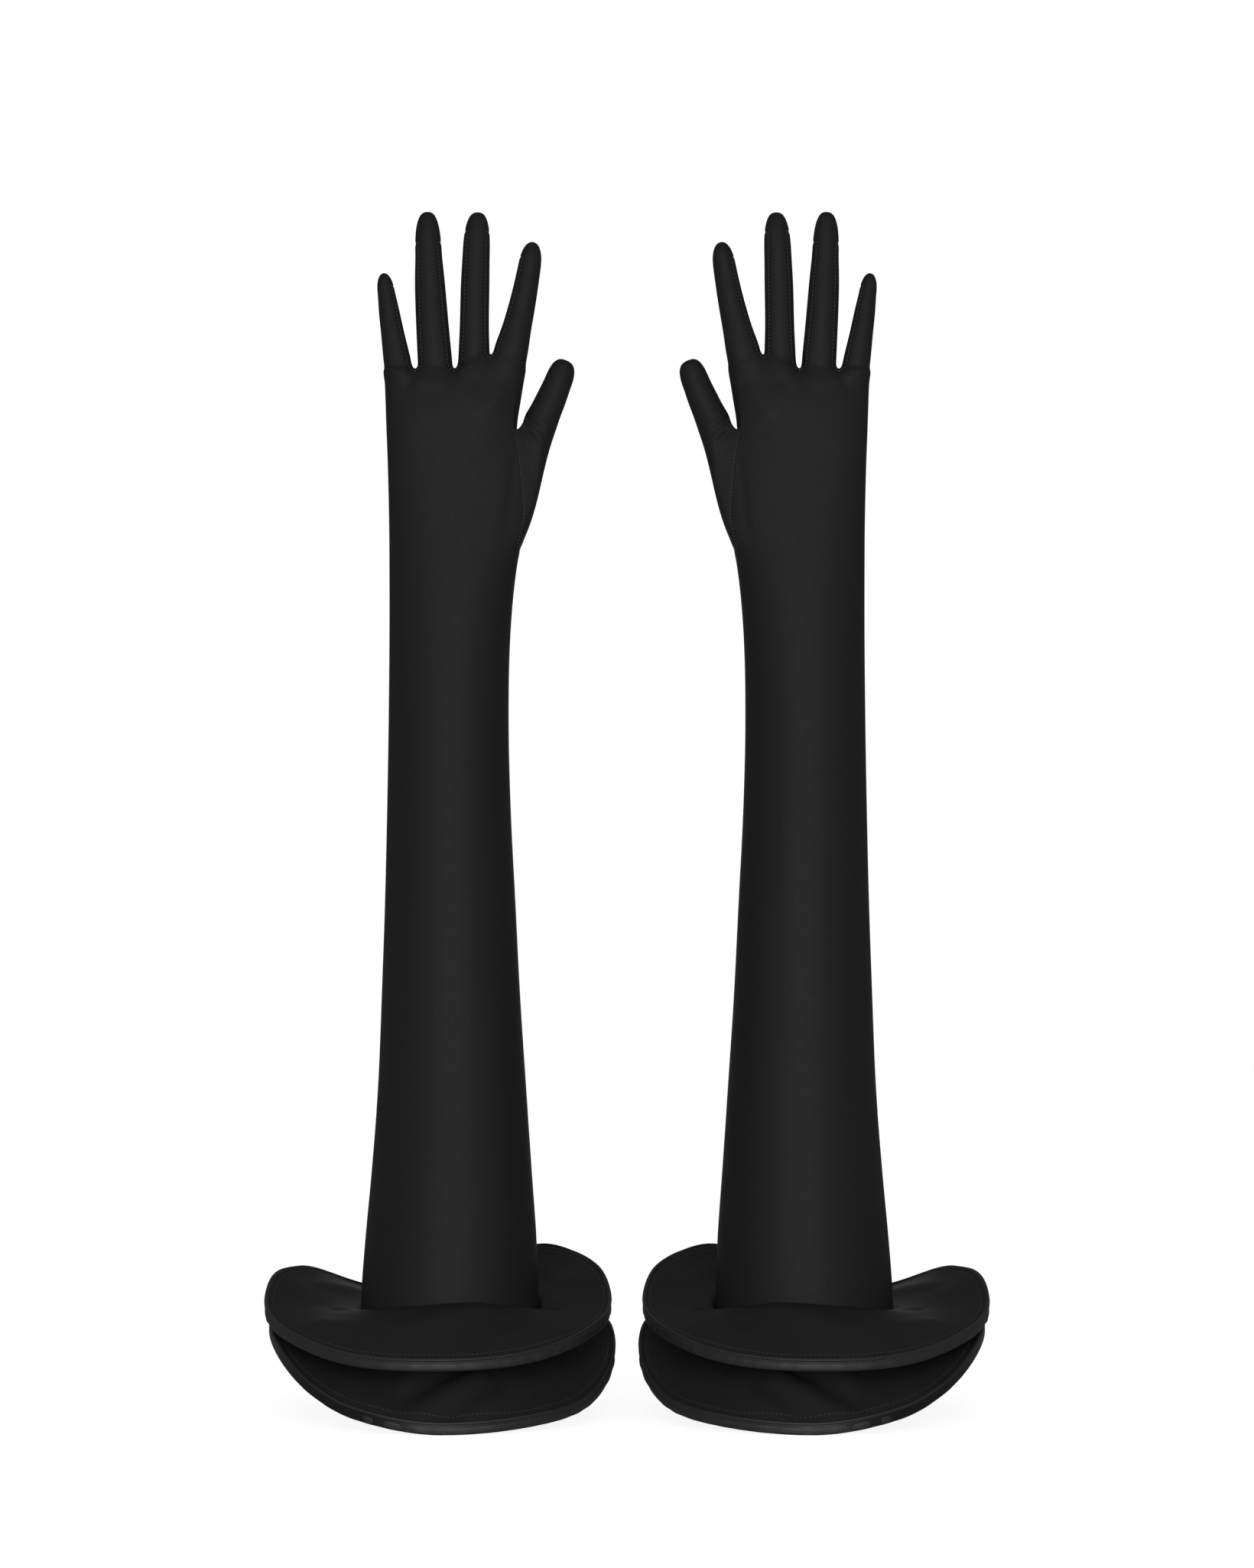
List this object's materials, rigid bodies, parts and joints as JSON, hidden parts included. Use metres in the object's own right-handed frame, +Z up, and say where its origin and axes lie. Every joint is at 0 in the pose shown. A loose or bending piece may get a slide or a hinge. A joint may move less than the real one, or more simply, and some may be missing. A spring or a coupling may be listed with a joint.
{
  "type": "opera gloves",
  "caption": "Pair of long stretch opera gloves with full fingers, standing upright on stiffened two-tier flounce cuffs.",
  "frame": {"origin": "middle of the pair, on the surface that the lower flounces stand on", "axes": "+Z up from the cuffs to the fingertips; +X from the left glove to the right glove; +Y towards the palms, away from the backs of the hands"},
  "size_m": [0.3698, 0.177, 0.6127],
  "materials": {
    "glove_cloth": "satin",
    "flounce_cloth": "satin",
    "rim_binding_cloth": "satin",
    "rim_boning": "matte",
    "opening_elastic": "matte"
  },
  "bodies": {
    "left_glove": {"left_back_panel": "glove_cloth", "left_palm_panel": "glove_cloth", "left_upper_flounce": "flounce_cloth", "left_lower_flounce": "flounce_cloth", "left_upper_rim_binding": "rim_binding_cloth", "left_lower_rim_binding": "rim_binding_cloth", "left_upper_rim_boning": "rim_boning", "left_lower_rim_boning": "rim_boning", "left_opening_elastic": "opening_elastic"},
    "left_thumb": {"left_thumb_gusset": "glove_cloth", "left_thumb_stall": "glove_cloth"},
    "left_little_finger": {"left_little_finger_stall": "glove_cloth", "left_little_fourchette_facing_ring": "glove_cloth"},
    "left_ring_finger": {"left_ring_finger_stall": "glove_cloth", "left_ring_fourchette_facing_little": "glove_cloth", "left_ring_fourchette_facing_middle": "glove_cloth"},
    "left_middle_finger": {"left_middle_finger_stall": "glove_cloth", "left_middle_fourchette_facing_ring": "glove_cloth", "left_middle_fourchette_facing_index": "glove_cloth"},
    "left_index_finger": {"left_index_finger_stall": "glove_cloth", "left_index_fourchette_facing_middle": "glove_cloth"},
    "right_glove": {"right_back_panel": "glove_cloth", "right_palm_panel": "glove_cloth", "right_upper_flounce": "flounce_cloth", "right_lower_flounce": "flounce_cloth", "right_upper_rim_binding": "rim_binding_cloth", "right_lower_rim_binding": "rim_binding_cloth", "right_upper_rim_boning": "rim_boning", "right_lower_rim_boning": "rim_boning", "right_opening_elastic": "opening_elastic"},
    "right_thumb": {"right_thumb_gusset": "glove_cloth", "right_thumb_stall": "glove_cloth"},
    "right_little_finger": {"right_little_finger_stall": "glove_cloth", "right_little_fourchette_facing_ring": "glove_cloth"},
    "right_ring_finger": {"right_ring_finger_stall": "glove_cloth", "right_ring_fourchette_facing_little": "glove_cloth", "right_ring_fourchette_facing_middle": "glove_cloth"},
    "right_middle_finger": {"right_middle_finger_stall": "glove_cloth", "right_middle_fourchette_facing_ring": "glove_cloth", "right_middle_fourchette_facing_index": "glove_cloth"},
    "right_index_finger": {"right_index_finger_stall": "glove_cloth", "right_index_fourchette_facing_middle": "glove_cloth"}
  },
  "joints": [
    {"name": "left_thumb_fold", "type": "hinge", "parent": "left_glove", "child": "left_thumb", "pos_m": [-0.0532, 0.0075, 0.4715], "axis": [0, 0, 1], "range_deg": [0, 60], "stiffness_Nm_per_rad": 0.01},
    {"name": "left_little_finger_fold", "type": "hinge", "parent": "left_glove", "child": "left_little_finger", "pos_m": [-0.1171, 0.00666, 0.5345], "axis": [-0.9877, 0, -0.1564], "range_deg": [0, 90], "stiffness_Nm_per_rad": 0.01},
    {"name": "left_ring_finger_fold", "type": "hinge", "parent": "left_glove", "child": "left_ring_finger", "pos_m": [-0.0983, 0.00792, 0.5375], "axis": [-0.9986, 0, -0.0523], "range_deg": [0, 90], "stiffness_Nm_per_rad": 0.01},
    {"name": "left_middle_finger_fold", "type": "hinge", "parent": "left_glove", "child": "left_middle_finger", "pos_m": [-0.0783, 0.0072, 0.5415], "axis": [-0.9996, 0, 0.0279], "range_deg": [0, 90], "stiffness_Nm_per_rad": 0.01},
    {"name": "left_index_finger_fold", "type": "hinge", "parent": "left_glove", "child": "left_index_finger", "pos_m": [-0.0597, 0.00801, 0.541], "axis": [-0.9792, 0, 0.2028], "range_deg": [0, 90], "stiffness_Nm_per_rad": 0.01},
    {"name": "pair_spacing", "type": "slide", "parent": "left_glove", "child": "right_glove", "axis": [1, 0, 0], "range_m": [0, 0.3]},
    {"name": "right_thumb_fold", "type": "hinge", "parent": "right_glove", "child": "right_thumb", "pos_m": [0.0532, 0.0075, 0.4715], "axis": [0, 0, -1], "range_deg": [0, 60], "stiffness_Nm_per_rad": 0.01},
    {"name": "right_little_finger_fold", "type": "hinge", "parent": "right_glove", "child": "right_little_finger", "pos_m": [0.1171, 0.00666, 0.5345], "axis": [-0.9877, 0, 0.1564], "range_deg": [0, 90], "stiffness_Nm_per_rad": 0.01},
    {"name": "right_ring_finger_fold", "type": "hinge", "parent": "right_glove", "child": "right_ring_finger", "pos_m": [0.0983, 0.00792, 0.5375], "axis": [-0.9986, 0, 0.0523], "range_deg": [0, 90], "stiffness_Nm_per_rad": 0.01},
    {"name": "right_middle_finger_fold", "type": "hinge", "parent": "right_glove", "child": "right_middle_finger", "pos_m": [0.0783, 0.0072, 0.5415], "axis": [-0.9996, 0, -0.0279], "range_deg": [0, 90], "stiffness_Nm_per_rad": 0.01},
    {"name": "right_index_finger_fold", "type": "hinge", "parent": "right_glove", "child": "right_index_finger", "pos_m": [0.0597, 0.00801, 0.541], "axis": [-0.9792, 0, -0.2028], "range_deg": [0, 90], "stiffness_Nm_per_rad": 0.01}
  ]
}
